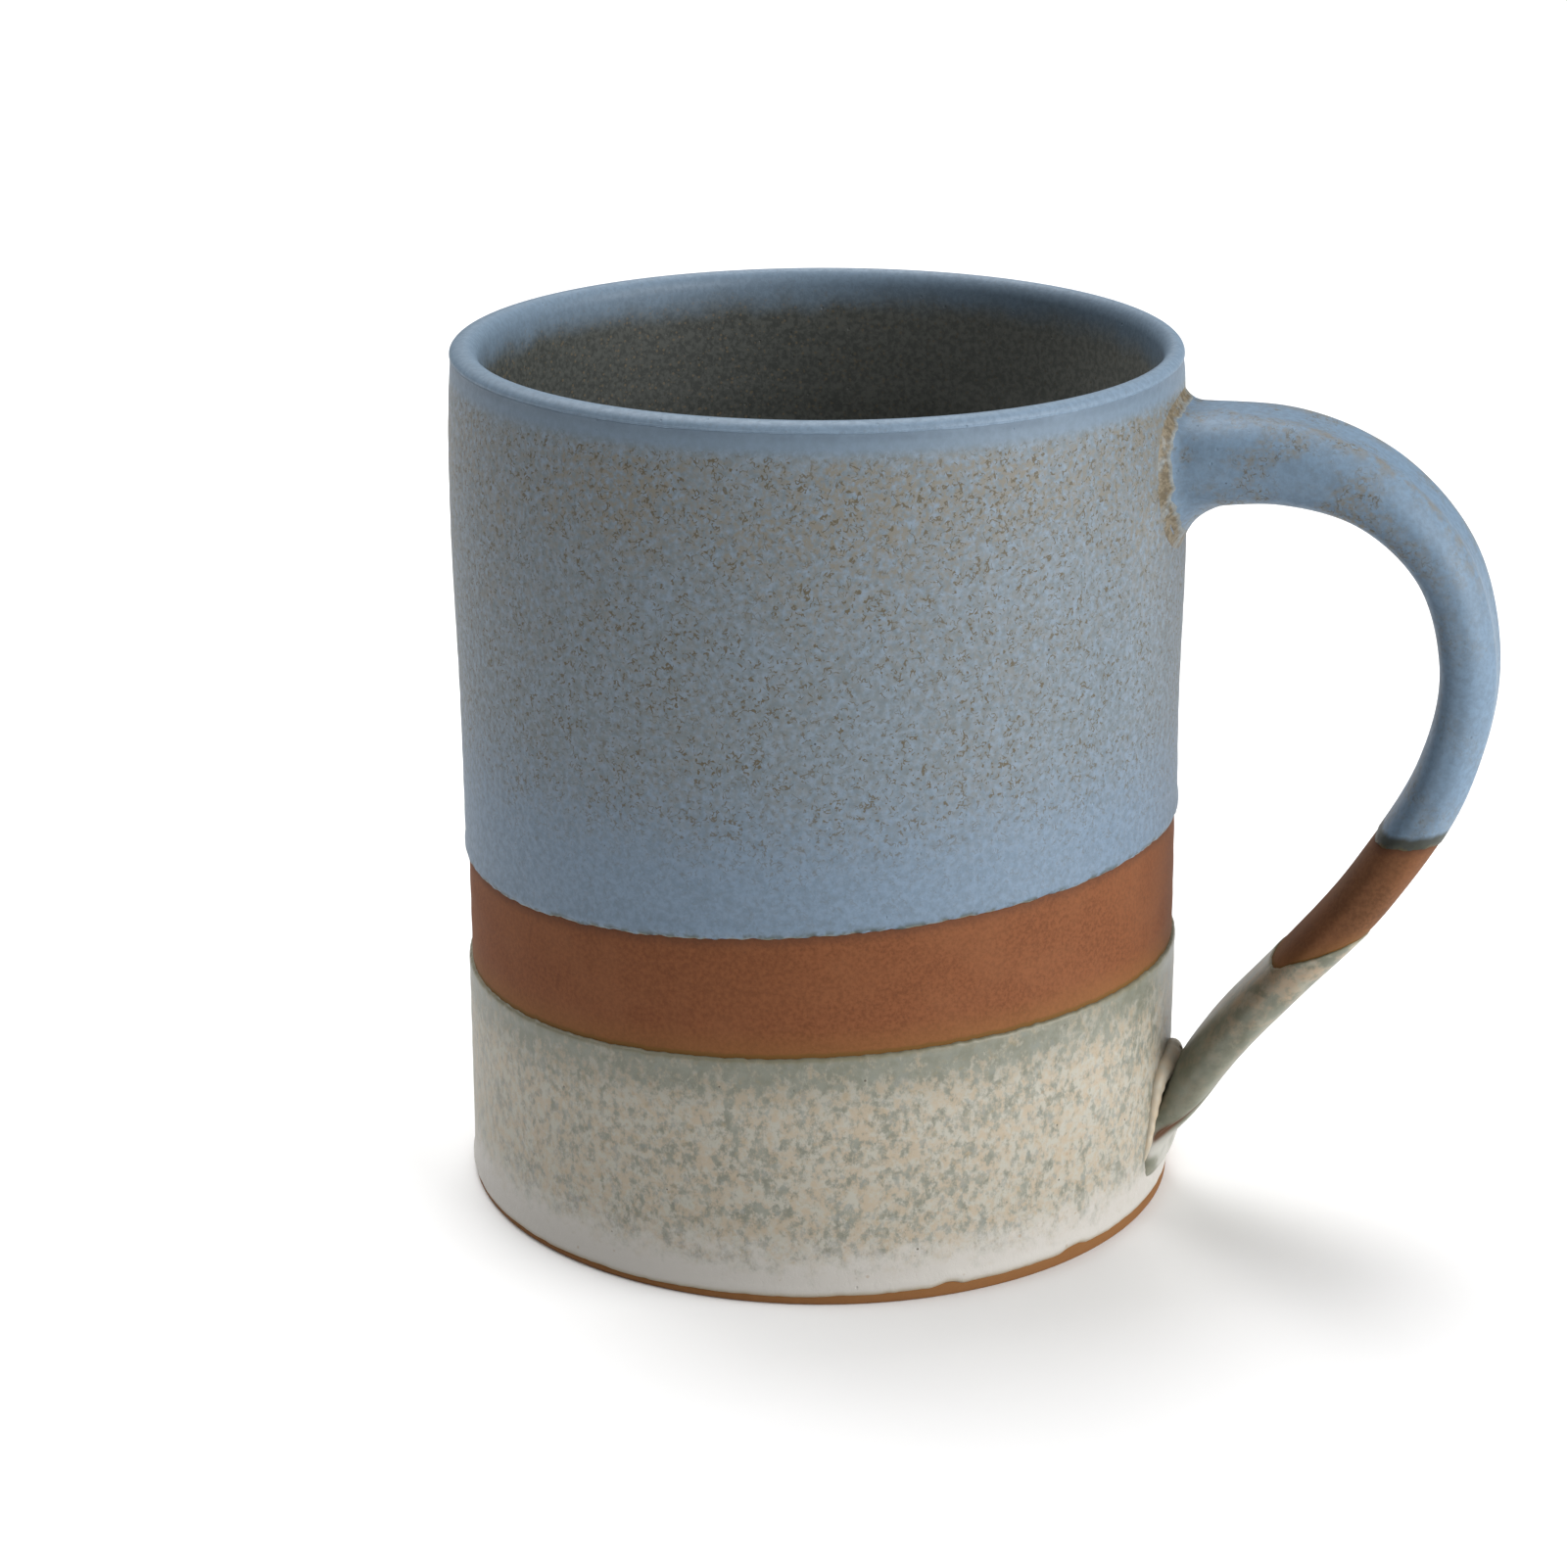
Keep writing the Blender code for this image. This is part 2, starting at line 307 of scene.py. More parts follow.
def bowl_profile(angle, lift, fine=1.0):
    """The inside of the bowl as (radius, height) rows from the floor's middle up and over the lip.

    A flat floor, a quarter circle into the wall, the wall drawn out a little to the lip, and half an
    ellipse over the lip. lift is how far the skin stands off the clay. fine thins the rows out for
    a skin that nothing shows of.
    """
    in_floor, in_corner, in_wall, in_lip = (round(fine * rows) for rows in (22, 14, 70, 26))
    floor_r = np.linspace(0.6, BORE - CORNER, in_floor)[:, None] * np.ones_like(angle)
    swirl = 0.16 * np.sin(2 * np.pi * floor_r / 5.5 - angle)
    swirl = swirl * step(floor_r, 1, 6) * step(-floor_r, -30, -24)
    floor_z = FLOOR_TOP - GLAZE + lift + swirl
    turn = np.linspace(-np.pi / 2, 0, in_corner)[1:, None]
    curve_r = BORE - CORNER + (CORNER + GLAZE - lift) * np.cos(turn) + 0 * angle
    curve_z = FLOOR_TOP + CORNER + (CORNER + GLAZE - lift) * np.sin(turn) + 0 * angle
    thick = lip_thickness(angle) - 2 * (GLAZE - lift)
    outer = clay_radius(angle, 0.985 * HEIGHT) + lift + 0.02
    top = HEIGHT + LIP_RISE - GLAZE + lift
    wall_z = np.linspace(FLOOR_TOP + CORNER, top - ROLL_INSIDE, in_wall)[1:, None] + 0 * angle
    draw = step(wall_z, 66, 93)
    rings = 0.07 * np.sin(2 * np.pi * wall_z / 5.2 - angle)
    rings = rings * step(wall_z, 14, 30) * (1 - step(wall_z, 80, 92))
    wall_r = (BORE + GLAZE - lift) * (1 - draw) + (outer - thick) * draw + rings
    over = np.linspace(0, np.pi, in_lip)[1:, None]
    middle = outer - thick / 2
    lip_r = middle - np.cos(over) * thick / 2
    roll = np.where(over < np.pi / 2, ROLL_INSIDE, ROLL_OUTSIDE)
    lip_z = top - roll * (1 - np.sin(over)) + 0 * angle
    return (
        np.vstack([floor_r, curve_r, wall_r, lip_r]),
        np.vstack([floor_z, curve_z, wall_z, lip_z]),
    )


def spun(radius, height, angle):
    """Points at radius and height round the axis."""
    return np.stack([radius * np.cos(angle), radius * np.sin(angle), height], -1)


inside_r, inside_z = bowl_profile(AROUND, 0.0, fine=0.4)
side_z = np.concatenate([
    np.linspace(HEIGHT - 1.5, 49, 14), np.linspace(48, 25, 44), np.linspace(24, 2.4, 10),
    np.linspace(2.1, 0.45, 7),
])[:, None] + 0 * AROUND
side_r = clay_radius(AROUND, side_z) + (GLAZE - 0.06) * (1 - step(side_z, 0.5, 2.6))
bevel = np.linspace(0, np.pi / 2, 5)[1:, None]
foot_r = side_r[-1] - FOOT_BEVEL * (1 - np.cos(bevel))
foot_z = FOOT_BEVEL - FOOT_BEVEL * np.sin(bevel) + 0 * AROUND
base_r = np.linspace(1, 0.012, 60)[:, None] * foot_r[-1]
base_x, base_y = base_r * np.cos(AROUND), base_r * np.sin(AROUND)
arcs = np.hypot(base_x + 70, base_y - 12) / 2.3 + 0.5 * np.sin(base_y / 9)
wired = 0.10 * (0.5 + 0.5 * np.sin(2 * np.pi * arcs)) * (0.6 + 0.4 * np.sin(base_x / 6 + base_y / 11))
base_z = wired * step(foot_r[-1] - base_r, 0.4, 3)
clay_points = spun(
    np.vstack([inside_r, side_r, foot_r, base_r]),
    np.vstack([inside_z, side_z, foot_z, base_z]),
    AROUND,
)
clay_heights = clay_points[..., 2]
clay_body = surface(
    "clay_body_thrown", clay_points,
    caps=[(0, 0, FLOOR_TOP - GLAZE), (0, 0, 0.05)],
    to_blue=blue_line(AROUND) - clay_heights,
    to_cream=clay_heights - cream_line(AROUND),
)
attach(clay_body, "root")
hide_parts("clay_body")

# %% [markdown]
# ## Liner and lip
#
# The liner was poured into the bowl and out again, then the lip was dipped, so the glaze is thick and
# pale on the lip's roll. On the outside it ends in a fine line just over a millimetre down, where
# the blue dip meets it. The skin goes up the bowl, over the lip, and returns inside the clay.

# %% Pour the liner
LIP_LINE = 96.95      # height where the lip's coat ends outside
LIP_EDGE = 0.25       # height of its rounded edge


def lip_line(angle):
    """Where the lip's coat ends on the outside of the wall."""
    return LIP_LINE + 0.10 * wander(angle, 41) + 0.03 * ragged(angle, 42, 240)


out_r, out_z = bowl_profile(AROUND, GLAZE)
under_r, under_z = bowl_profile(AROUND, -SUNK, fine=0.4)
drop = np.linspace(0, 1, 7)[1:-1, None]
edge_turn = np.linspace(0, np.pi / 2, 5)[:, None]
line = lip_line(AROUND)
down_z = out_z[-1] + (line + LIP_EDGE - out_z[-1]) * drop
down_r = clay_radius(AROUND, down_z) + GLAZE * (1 + 0.15 * np.sin(np.pi * drop))
tuck_z = line + LIP_EDGE * (1 - np.sin(edge_turn))
tuck_r = clay_radius(AROUND, tuck_z) + GLAZE * np.cos(edge_turn) - 0.04
rise_z = line + (under_z[-1] - line) * drop
rise_r = clay_radius(AROUND, rise_z) - SUNK
liner_points = spun(
    np.vstack([out_r, down_r, tuck_r, rise_r, under_r[::-1]]),
    np.vstack([out_z, down_z, tuck_z, rise_z, under_z[::-1]]),
    AROUND,
)
liner = surface(
    "liner_glaze_poured", liner_points,
    caps=[(0, 0, FLOOR_TOP), (0, 0, FLOOR_TOP - GLAZE - SUNK)],
    depth=HEIGHT - liner_points[..., 2],
)
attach(liner, "root")
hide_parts("liner_glaze")

# %% [markdown]
# ## The two dips on the wall
#
# The mug was held upside down for the blue dip and right way up for the cream one. Neither was held
# quite level, so both lines tilt a little. Rows are closer together near the edges, where the coat
# curves most.


# %% Dip the wall
def crowded(rows):
    """Places from 0 to 1 that crowd towards both ends."""
    return 0.5 - 0.5 * np.cos(np.pi * np.linspace(0, 1, rows + 2))


blue_wall = coat(
    "blue_glaze_wall_dip", wall, ANGLES, blue_line(ANGLES), lip_line(ANGLES) + 0.30, 46,
    low_roll=0.10, high_roll=-0.05, spread=crowded(46), high_soft=0.10,
)
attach(blue_wall, "root")
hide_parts("blue_glaze_wall")

cream_wall = coat(
    "cream_glaze_wall_dip", wall, ANGLES, foot_line(ANGLES), cream_line(ANGLES), 40,
    low_roll=0.16, high_roll=0.05, spread=crowded(40),
)
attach(cream_wall, "root")
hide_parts("cream_glaze_wall")

# %% [markdown]
# ## The pulled strap
#
# A pulled handle is a tongue of clay stroked out wet between finger and thumb. It is thick at the
# top, thins towards the bottom, and two soft ridges run down its outer face with a shallow groove
# between them. Its upper end was pressed into the wall and faired in all round. The lower end was
# bent in, and its tail pressed flat on the wall.
#
# The strap is a section carried along a smooth path. Place along the path is measured in
# millimetres, and `turn` goes round the section: +90 degrees is the outer face.

# %% Path and section of the strap
STATIONS = np.array([
    # x, height, width across, thickness
    (34.0, 86.7, 17.8, 11.8),
    (43.0, 87.8, 16.9, 11.1),
    (52.5, 88.0, 15.2, 9.9),
    (62.3, 84.8, 14.2, 8.2),
    (69.9, 77.4, 13.7, 7.1),
    (73.0, 67.0, 13.4, 6.8),
    (71.1, 53.5, 13.4, 7.0),
    (64.0, 40.1, 13.5, 6.6),
    (54.8, 28.4, 13.3, 5.8),
    (48.0, 19.8, 13.0, 5.9),
    (43.6, 12.8, 12.9, 5.4),
    (41.2, 8.6, 14.8, 4.0),
    (40.8, 5.6, 15.8, 3.1),
    (40.6, 3.6, 11.5, 1.3),
    (40.55, 2.9, 3.0, 0.3),
])
chords = np.linalg.norm(np.diff(STATIONS[:, :2], axis=0), axis=1)
KNOTS = np.concatenate([[0], np.cumsum(chords)])
LENGTH = KNOTS[-1]
ROOT = float(np.interp(RADIUS - GLAZE, STATIONS[:2, 0], KNOTS[:2]))    # where it leaves the wall's clay
RIDGE = 3.7      # how far each ridge of the outer face lies from its middle
print(f"The strap's path is {LENGTH:.0f} mm long")


def fold_at(y):
    """The place of the fold above the tail: highest in the middle, and down towards both sides."""
    return 106.2 + 11.8 * step(np.abs(y), 1.0, 8)


def strap(turn, place):
    """A point of the strap's clay at turn round its section and place along its path.

    The inner half of the section is a superellipse, between an ellipse and a rectangle. The outer
    half is the lower of a half ellipse and a shallow dish, which meet in two soft ridges. Near the
    upper root it flares by a quarter circle into the wall, most of all underneath. Near both roots
    the section is square to the wall and bends to lie round it.
    """
    rows = through(KNOTS, STATIONS, place)
    ahead = through(KNOTS, STATIONS, np.clip(place + 0.4, 0, LENGTH))
    behind = through(KNOTS, STATIONS, np.clip(place - 0.4, 0, LENGTH))
    way = (ahead - behind)[..., :2]
    hug_top = 1 - step(place, ROOT, ROOT + 9)
    way = way / np.linalg.norm(way, axis=-1, keepdims=True)
    way = way * (1 - hug_top[..., None]) + np.array([1.0, 0.0]) * hug_top[..., None]
    power = 2 / 2.7
    cosine, sine = np.cos(turn), np.sin(turn)
    half_w = rows[..., 2] / 2 - GLAZE
    half_t = np.maximum(rows[..., 3] / 2 - GLAZE, 0.04)
    pull = step(place, 11, 24) * (1 - step(place, 50, 80))
    above = sine > 0
    round_y = np.sign(cosine) * np.abs(cosine) ** power * half_w
    y = np.where(above, round_y * (1 - pull) + cosine * half_w * pull, round_y)
    full = np.sign(sine) * np.abs(sine) ** power * half_t
    ridge_y = RIDGE + 0.25 * np.sin(place / 11)
    crown = half_t * (0.93 + 0.07 * np.clip((y / ridge_y) ** 2, 0, 1.5))
    shoulder = 1.17 * half_t * sine
    faceted = -0.10 * np.log(np.exp(-crown / 0.10) + np.exp(-shoulder / 0.10))
    out = np.where(above, full * (1 - pull) + np.maximum(faceted, 0) * pull, full)
    fold = step(sine, -0.1, 0.4) * np.exp(-(((place - fold_at(y)) / 0.7) ** 2))
    out = out - 0.42 * fold
    # the flare into the wall at the upper root
    off = np.maximum(place - ROOT, 0)
    size = 2.5 + 3.9 * np.maximum(-sine, 0) ** 3
    fall = np.clip(1 - off / size, 0, 1)
    flare = size * (1 - np.sqrt(np.maximum(1 - fall**2, 0)))
    y = y + cosine * flare
    out = out + sine * flare
    # hands press it slightly out of true
    out = out + 0.06 * np.sin(place / 5.3 + 2 * turn) + 0.05 * np.sin(place / 8.7 - turn)
    y = y + 0.08 * np.sin(place / 9.1 + 1.3)
    z = rows[..., 1] + way[..., 0] * out
    hug = np.maximum(hug_top, step(place, 108, 121))
    round_wall = np.sqrt(clay_radius(np.arcsin(y / RADIUS), z) ** 2 - y**2)
    x = rows[..., 0] - way[..., 1] * out - hug * (RADIUS - GLAZE - round_wall)
    return np.stack([x, y, z], -1)


# %% [markdown]
# ### Where the dips end on the strap
#
# The dips cross the strap as they cross the wall: at a level, not square to the path. For each column
# of the section, small steps down the strap find the place where it comes down to that level.


# %% Find the dip lines on the strap
TURNS = np.linspace(0, 2 * np.pi, 176, endpoint=False)


def strap_line(level, rise, drop, seed, teeth, rough):
    """The place where each column reaches a level that rises outwards by rise, less drop inside."""
    places = np.linspace(50, 118, 900)[:, None]
    points = strap(TURNS + 0 * places, places + 0 * TURNS)
    target = level + rise * (points[..., 0] - 60) / 10 - drop * step(-np.sin(TURNS), -0.9, 0.9)
    first = np.argmax(points[..., 2] < target, axis=0)
    found = places[first, 0]
    return found + rough * (0.6 * ragged(TURNS, seed, teeth) + 0.4 * ragged(TURNS, seed + 1, 2 * teeth))


blue_end = strap_line(level=45.6, rise=1.1, drop=0.0, seed=51, teeth=30, rough=0.16)
cream_start = strap_line(level=34.2, rise=2.4, drop=2.2, seed=61, teeth=34, rough=0.22)
print(f"Blue ends {blue_end.mean():.1f} mm along the strap, cream starts at {cream_start.mean():.1f}")

# %% [markdown]
# ### Clay, then the coats over it
#
# The clay strap runs from inside the wall to the tip of the tail. The blue coat starts under the
# slip of the upper join and the cream one ends at the tip. One mask follows the two ridges, where
# the glaze ran thin and broke brown, and another follows the fold above the tail.

# %% Pull the strap and dip it
strap_places = np.concatenate([
    np.linspace(ROOT - 1.2, ROOT, 6)[:-1], ROOT + 8 * np.linspace(0, 1, 26) ** 2,
    np.linspace(ROOT + 8.4, LENGTH - 0.3, 250),
])[:, None]
strap_points = strap(TURNS + 0 * strap_places, strap_places + 0 * TURNS)
tip = through(KNOTS, STATIONS, np.array(LENGTH))
handle = surface(
    "handle_pulled", strap_points,
    caps=[strap_points[0].mean(0), (tip[0], 0, tip[1] - 0.1)],
    to_blue=strap_places - blue_end,
    to_cream=cream_start - strap_places,
)
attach(handle, "root")
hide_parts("handle")


def ridge_mask(turn, place):
    """1 on the two ridges of the outer face, fading down the strap."""
    points = strap(turn, place)
    near = np.exp(-(((np.abs(points[..., 1]) - RIDGE) / 1.2) ** 2)) * (np.sin(turn) > 0.2)
    return near * step(place, 14, 20) * (1 - step(place, 36, 48))


def fold_mask(turn, place):
    """1 along the fold between the strap and its pressed tail, on the outer face and the sides."""
    off = place - fold_at(strap(turn, place)[..., 1])
    return step(np.sin(turn), -0.15, 0.25) * np.exp(-((off / 0.95) ** 2))


blue_spread = np.linspace(0, 1, 260) ** 1.25
blue_low = ROOT + 0.35 + 0 * TURNS
blue_strap = coat(
    "blue_glaze_handle_dip", strap, TURNS, blue_low, blue_end, 258,
    low_roll=0.0, high_roll=0.08, side=-1, spread=blue_spread, under_rows=120, ridges=ridge_mask,
)
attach(blue_strap, "root")
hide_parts("blue_glaze_handle")

cream_strap = coat(
    "cream_glaze_handle_dip", strap, TURNS, cream_start, LENGTH - 0.35 + 0 * TURNS, 120,
    low_roll=0.06, high_roll=0.0, side=-1, under_rows=70, fold=fold_mask,
)
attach(cream_strap, "root")
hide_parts("cream_glaze_handle")

# %% [markdown]
# ## The two joins
#
# Where a handle is stuck on, a little slip squeezes out and is wiped round. At the top it leaves a
# rough ring in the hollow of the flare. At the bottom it stands as a soft ridge beside the strap,
# over the crotch and down both sides of the tail. The first is laid over the strap like a coat.


# %% Squeeze out the slip
seam_low = ROOT - 0.35 + 0 * TURNS
seam_high = ROOT + 1.30 + 0.22 * ragged(TURNS, 71, 26) + 0.14 * ragged(TURNS, 72, 61)
upper_join = coat(
    "upper_join_slip", strap, TURNS, seam_low, seam_high, 16,
    low_roll=0.0, high_roll=0.0, side=-1, thickness=GLAZE + 0.09, under_rows=10, high_soft=0.35,
)
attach(upper_join, "root")
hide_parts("upper_join")

# %% [markdown]
# The lower slip is a bead that fills the crotch, where the strap leans away from the wall, and runs
# down beside the strap to its tail. It is thickest in the crotch. Its line is a curve through a few
# points of one side, mirrored to the other, and laid on the wall.


# %% The line of the lower bead
share = np.linspace(-1, 1, 261)
bead_share = [0, 0.18, 0.36, 0.54, 0.70, 0.85, 1.0]      # from the crotch's middle to the tail
sideways = through(bead_share, [0, 2.7, 4.7, 5.7, 6.3, 7.2, 7.9], np.abs(share))
level = through(bead_share, [16.2, 16.0, 15.2, 13.0, 10.6, 8.4, 6.3], np.abs(share))
girth = through(bead_share, [1.55, 1.45, 1.15, 0.88, 0.76, 0.66, 0.48], np.abs(share))
around = np.sign(share) * np.arcsin(sideways / RADIUS)
lumps = 1 + 0.07 * ragged(share * 3, 81, 40)
out_by = clay_radius(around, level) + 0.50 * girth
line = np.stack([out_by * np.cos(around), out_by * np.sin(around), level], -1)
print(f"The bead runs from height {level.min():.1f} up to {level.max():.1f}")


# %% A bead along that line
def bead(name, middle, width, height, sides=20):
    """A low ridge along a line on the wall, tapering to a point at both ends.

    Its section is an ellipse, width along the wall and height out of it, square to the line.
    """
    out = middle * [1, 1, 0]
    out = out / np.linalg.norm(out, axis=1, keepdims=True)
    way = np.gradient(middle, axis=0)
    side = np.cross(way, out)
    side = side / np.linalg.norm(side, axis=1, keepdims=True)
    turn = np.linspace(0, 2 * np.pi, sides, endpoint=False)
    points = (
        middle[:, None]
        + side[:, None] * (np.cos(turn) * width[:, None])[..., None]
        + out[:, None] * (np.sin(turn) * height[:, None])[..., None]
    )
    return surface(name, points, caps=[middle[0], middle[-1]])


taper = np.sqrt(np.clip(1 - np.abs(share) ** 9, 0, 1)) + 0.02
lower_join = bead("lower_join_slip", line, 0.95 * girth * taper * lumps, 0.85 * girth * taper * lumps)
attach(lower_join, "root")
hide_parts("lower_join")

# %% [markdown]
# ## Finishes
#
# Every finish is a tree of nodes that reads the object's own coordinates, in metres, or the
# distances to the dip lines that were stored with the points. A small class keeps the trees
# readable: each call adds one node and hands back its output.


# %% A short way to write node trees
class Finish:
    """One material's nodes, added from left to right."""

    def __init__(self, name, roughness, specular=0.5):
        self.material = bpy.data.materials.new(name)
        self.material.use_nodes = True
        self.tree = self.material.node_tree
        self.shader = self.tree.nodes["Principled BSDF"]
        self.shader.inputs["Roughness"].default_value = roughness
        self.shader.inputs["Specular IOR Level"].default_value = specular
        self.place = self.add("ShaderNodeTexCoord").outputs["Object"]
        split = self.add("ShaderNodeSeparateXYZ")
        self.feed(split.inputs[0], self.place)
        self.height = self.math("MULTIPLY", split.outputs["Z"], 1 / MM)
        self.x = self.math("MULTIPLY", split.outputs["X"], 1 / MM)

    def add(self, kind, **settings):
        node = self.tree.nodes.new(kind)
        for key, value in settings.items():
            setattr(node, key, value)
        return node

    def feed(self, socket, value):
        if isinstance(value, bpy.types.NodeSocket):
            self.tree.links.new(value, socket)
        else:
            socket.default_value = value

    def math(self, operation, a, b=0.0, c=0.0, clamp=False):
        node = self.add("ShaderNodeMath", operation=operation, use_clamp=clamp)
        for socket, value in zip(node.inputs, (a, b, c)):
            self.feed(socket, value)
        return node.outputs[0]

    def mapped(self, stretch=(1, 1, 1), shift=(0, 0, 0)):
        node = self.add("ShaderNodeMapping")
        self.feed(node.inputs["Vector"], self.place)
        node.inputs["Scale"].default_value = stretch
        node.inputs["Location"].default_value = shift
        return node.outputs[0]

    def noise(self, size, detail=2.0, rough=0.5, twist=0.0, stretch=(1, 1, 1), shift=0.0):
        """Soft blobs about size millimetres across."""
        node = self.add("ShaderNodeTexNoise")
        self.feed(node.inputs["Vector"], self.mapped(stretch, (shift, shift * 0.7, shift * 1.3)))
        node.inputs["Scale"].default_value = 1 / (2 * size * MM)
        node.inputs["Detail"].default_value = detail
        node.inputs["Roughness"].default_value = rough
        node.inputs["Distortion"].default_value = twist
        return node.outputs["Fac"]

    def cells(self, size, shift=0.0):
        """Distance from the middle of random cells (in cells), and a random number for each cell."""
        node = self.add("ShaderNodeTexVoronoi", feature="F1")
        self.feed(node.inputs["Vector"], self.mapped(shift=(shift, shift, shift)))
        node.inputs["Scale"].default_value = 1 / (size * MM)
        split = self.add("ShaderNodeSeparateColor")
        self.feed(split.inputs[0], node.outputs["Color"])
        return node.outputs["Distance"], split.outputs[0]

    def band(self, value, low, high, out_low=0.0, out_high=1.0):
        """A smooth step from out_low at low to out_high at high."""
        node = self.add("ShaderNodeMapRange", interpolation_type="SMOOTHSTEP")
        for key, number in (("Value", value), ("From Min", low), ("From Max", high),
                            ("To Min", out_low), ("To Max", out_high)):
            self.feed(node.inputs[key], number)
        return node.outputs[0]

    def times(self, *values):
        total = values[0]
        for value in values[1:]:
            total = self.math("MULTIPLY", total, value)
        return total

    def plus(self, *values):
        total = values[0]
        for value in values[1:]:
            total = self.math("ADD", total, value)
        return total

    def mix(self, amount, a, b):
        """Colour a where amount is 0 and colour b where it is 1."""
        node = self.add("ShaderNodeMix", data_type="RGBA")
        self.feed(node.inputs[0], amount)
        for socket, value in ((node.inputs[6], a), (node.inputs[7], b)):
            self.feed(socket, (*value, 1.0) if isinstance(value, tuple) else value)
        return node.outputs[2]

    def stored(self, label):
        return self.add("ShaderNodeAttribute", attribute_name=label).outputs["Fac"]

    def bump(self, height, distance, before=None):
        """Tilts the light over a height from 0 to 1, as if it stood so many millimetres high."""
        node = self.add("ShaderNodeBump")
        node.inputs["Strength"].default_value = 1.0
        node.inputs["Distance"].default_value = distance * MM
        self.feed(node.inputs["Height"], height)
        if before is not None:
            self.feed(node.inputs["Normal"], before)
        return node.outputs[0]

    def specks(self, size, radius, share, shift=0.0):
        """Small round dots: 1 inside radius (in cells) of the middle of a share of the cells."""
        distance, chance = self.cells(size, shift)
        return self.times(
            self.band(distance, radius, radius * 0.55), self.band(chance, 1 - share, 1 - share + 0.02)
        )

    def done(self, colour, roughness=None, normal=None):
        self.feed(self.shader.inputs["Base Color"], colour)
        if roughness is not None:
            self.feed(self.shader.inputs["Roughness"], roughness)
        if normal is not None:
            self.feed(self.shader.inputs["Normal"], normal)
        return self.material


# %% [markdown]
# ### Blue matt glaze
#
# A soft, slightly waxy blue. Up close it is a curdle of light blue and grey blobs half a millimetre
# across, with olive-brown dots and little worm-like dashes where iron from the clay came through.
# They crowd into a tan band just below the lip and thin out towards the dip line.


